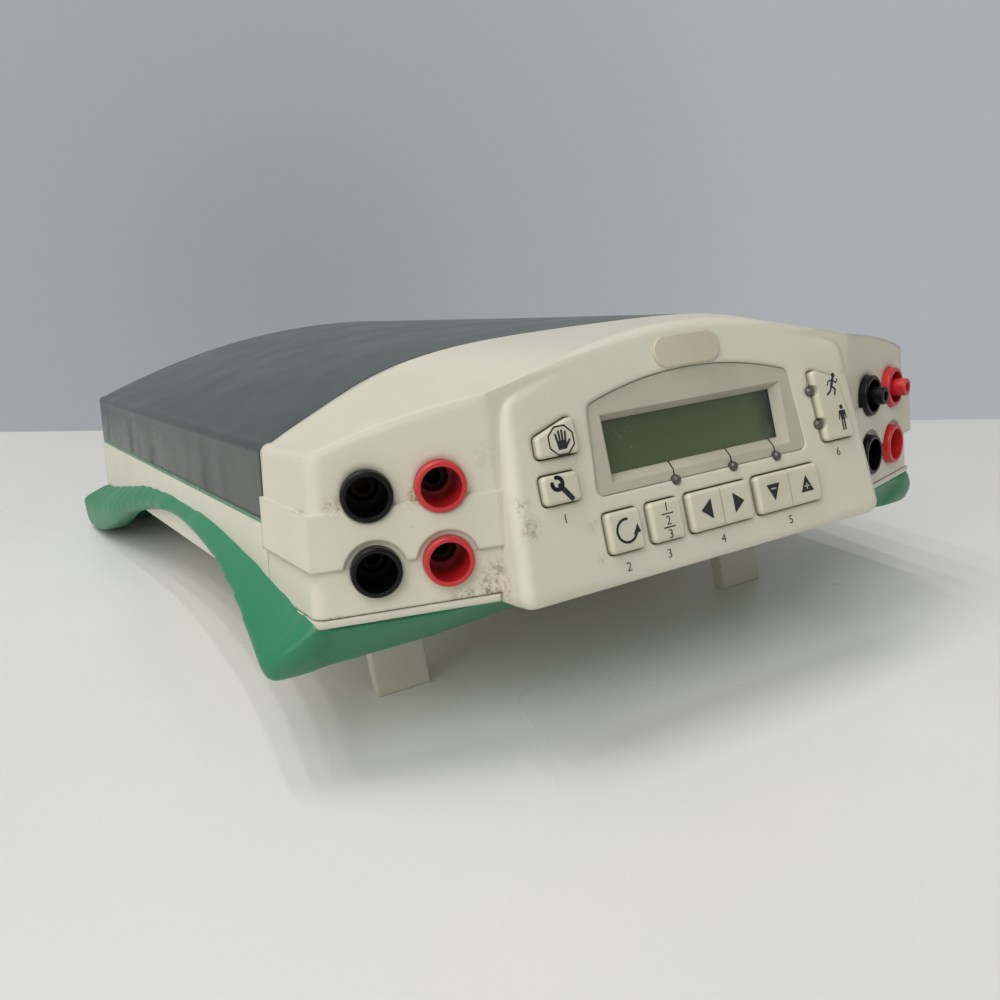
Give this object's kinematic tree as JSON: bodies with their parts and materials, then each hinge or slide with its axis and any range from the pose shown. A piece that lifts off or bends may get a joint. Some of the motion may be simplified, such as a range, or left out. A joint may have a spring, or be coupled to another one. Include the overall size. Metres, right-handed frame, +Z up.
{
  "type": "electrophoresis power supply",
  "caption": "Bench power supply with an arched glossy cover, sloping console with display and keys, shrouded jacks, splayed leg frame and flip-out feet.",
  "frame": {"origin": "middle of the bounding box's bottom, on the bench", "axes": "+Z up, -Y to the front where the console faces, +X to the right seen from the front"},
  "size_m": [0.275, 0.322, 0.1171],
  "materials": {
    "cream_plastic": "fine satin texture",
    "cover_grey": "glossy moulded",
    "trim_green": "gloss strip",
    "frame_green": "semi gloss moulded",
    "steel": "plated",
    "bezel_grey": "satin",
    "lcd_metal": "plated can",
    "lcd_green": "polariser film",
    "board_green": "solder mask",
    "switch_black": "moulded",
    "lamp_amber": "clear lens, unlit",
    "lamp_green": "clear lens, unlit",
    "plate_cream": "blank inlay",
    "jack_black": "moulded",
    "jack_red": "moulded",
    "contact_brass": "nickelled",
    "panel_grey": "powder coat",
    "black_plastic": "moulded",
    "chrome_wire": "plated wire",
    "core_iron": "laminated, varnished",
    "winding_copper": "taped winding",
    "sink_aluminium": "extruded",
    "capacitor_blue": "sleeve",
    "choke_yellow": "coated ring",
    "key_beige": "moulded cap",
    "plate_silver": "bare film"
  },
  "bodies": {
    "case": {"base_shell": "cream_plastic", "board_screws": "steel", "capacitors": "capacitor_blue", "case_bolts": "steel", "choke_cores": "choke_yellow", "control_board": "board_green", "cover_trim": "trim_green", "display_bezel": "bezel_grey", "display_lamps": "lamp_amber", "fan_frame": "black_plastic", "fan_guard": "chrome_wire", "fan_screws": "steel", "front_housing": "cream_plastic", "heat_sink": "sink_aluminium", "inlet_pins": "contact_brass", "inlet_socket": "black_plastic", "jack_contacts": "contact_brass", "jack_nuts": "contact_brass", "jacks_black": "jack_black", "jacks_red": "jack_red", "lcd_can": "lcd_metal", "lcd_glass": "lcd_green", "leg_frame": "frame_green", "main_board": "board_green", "name_plate": "plate_cream", "panel_screws": "steel", "power_devices": "switch_black", "prop_pins": "steel", "rating_plate": "plate_silver", "rear_panel": "panel_grey", "run_lamps": "lamp_green", "standoff_screws": "steel", "standoffs": "contact_brass", "switch_frame": "black_plastic", "switches": "switch_black", "top_cover": "cover_grey", "transformer_core": "core_iron", "transformer_winding": "winding_copper"},
    "fan_rotor": {"fan_rotor": "black_plastic"},
    "fuse_drawer": {"fuse_drawer": "black_plastic"},
    "key_constant": {"key_constant": "key_beige"},
    "key_cursor": {"key_cursor": "key_beige"},
    "key_reset": {"key_reset": "key_beige"},
    "key_run": {"key_run": "key_beige"},
    "key_setup": {"key_setup": "key_beige"},
    "key_stop": {"key_stop": "key_beige"},
    "key_values": {"key_values": "key_beige"},
    "plug_black": {"plug_black": "jack_black", "plug_pin_black": "contact_brass"},
    "plug_red": {"plug_red": "jack_red", "plug_pin_red": "contact_brass"},
    "power_rocker": {"power_rocker": "black_plastic"},
    "prop_foot_left": {"prop_foot_left": "cream_plastic"},
    "prop_foot_right": {"prop_foot_right": "cream_plastic"}
  },
  "joints": [
    {"name": "prop_left_fold", "type": "hinge", "parent": "case", "child": "prop_foot_left", "pos_m": [-0.074, -0.07886, 0.03858], "axis": [1, 0, 0], "range_deg": [0, 99]},
    {"name": "prop_right_fold", "type": "hinge", "parent": "case", "child": "prop_foot_right", "pos_m": [0.074, -0.07886, 0.03858], "axis": [1, 0, 0], "range_deg": [0, 99]},
    {"name": "key_stop_press", "type": "slide", "parent": "case", "child": "key_stop", "axis": [0, 0.9508, -0.3098], "range_m": [0, 0.0009], "stiffness_N_per_m": 400},
    {"name": "key_setup_press", "type": "slide", "parent": "case", "child": "key_setup", "axis": [0, 0.9508, -0.3098], "range_m": [0, 0.0009], "stiffness_N_per_m": 400},
    {"name": "key_reset_press", "type": "slide", "parent": "case", "child": "key_reset", "axis": [0, 0.9508, -0.3098], "range_m": [0, 0.0009], "stiffness_N_per_m": 400},
    {"name": "key_constant_press", "type": "slide", "parent": "case", "child": "key_constant", "axis": [0, 0.9508, -0.3098], "range_m": [0, 0.0009], "stiffness_N_per_m": 400},
    {"name": "key_run_press", "type": "slide", "parent": "case", "child": "key_run", "axis": [0, 0.9508, -0.3098], "range_m": [0, 0.0009], "stiffness_N_per_m": 400},
    {"name": "key_cursor_rock", "type": "hinge", "parent": "case", "child": "key_cursor", "pos_m": [0.0005, -0.15642, 0.06533], "axis": [0, 0.3098, 0.9508], "range_deg": [-2.5, 2.5], "stiffness_Nm_per_rad": 0.1},
    {"name": "key_values_rock", "type": "hinge", "parent": "case", "child": "key_values", "pos_m": [0.0273, -0.15642, 0.06533], "axis": [0, 0.3098, 0.9508], "range_deg": [-2.5, 2.5], "stiffness_Nm_per_rad": 0.1},
    {"name": "plug_black_pull", "type": "slide", "parent": "case", "child": "plug_black", "axis": [0.3057, -0.9472, 0.097], "range_m": [0, 0.03]},
    {"name": "plug_red_pull", "type": "slide", "parent": "case", "child": "plug_red", "axis": [0.3057, -0.9472, 0.097], "range_m": [0, 0.03]},
    {"name": "power_rocker_tilt", "type": "hinge", "parent": "case", "child": "power_rocker", "pos_m": [-0.022, 0.15444, 0.04624], "axis": [1, 0, 0], "range_deg": [-18, 0]},
    {"name": "fuse_drawer_slide", "type": "slide", "parent": "case", "child": "fuse_drawer", "axis": [0, 0.9948, -0.1019], "range_m": [0, 0.02]},
    {"name": "fan_spin", "type": "hinge", "parent": "case", "child": "fan_rotor", "pos_m": [0.062, 0.14449, 0.04726], "axis": [0, 0.9948, -0.1019], "continuous": true}
  ]
}
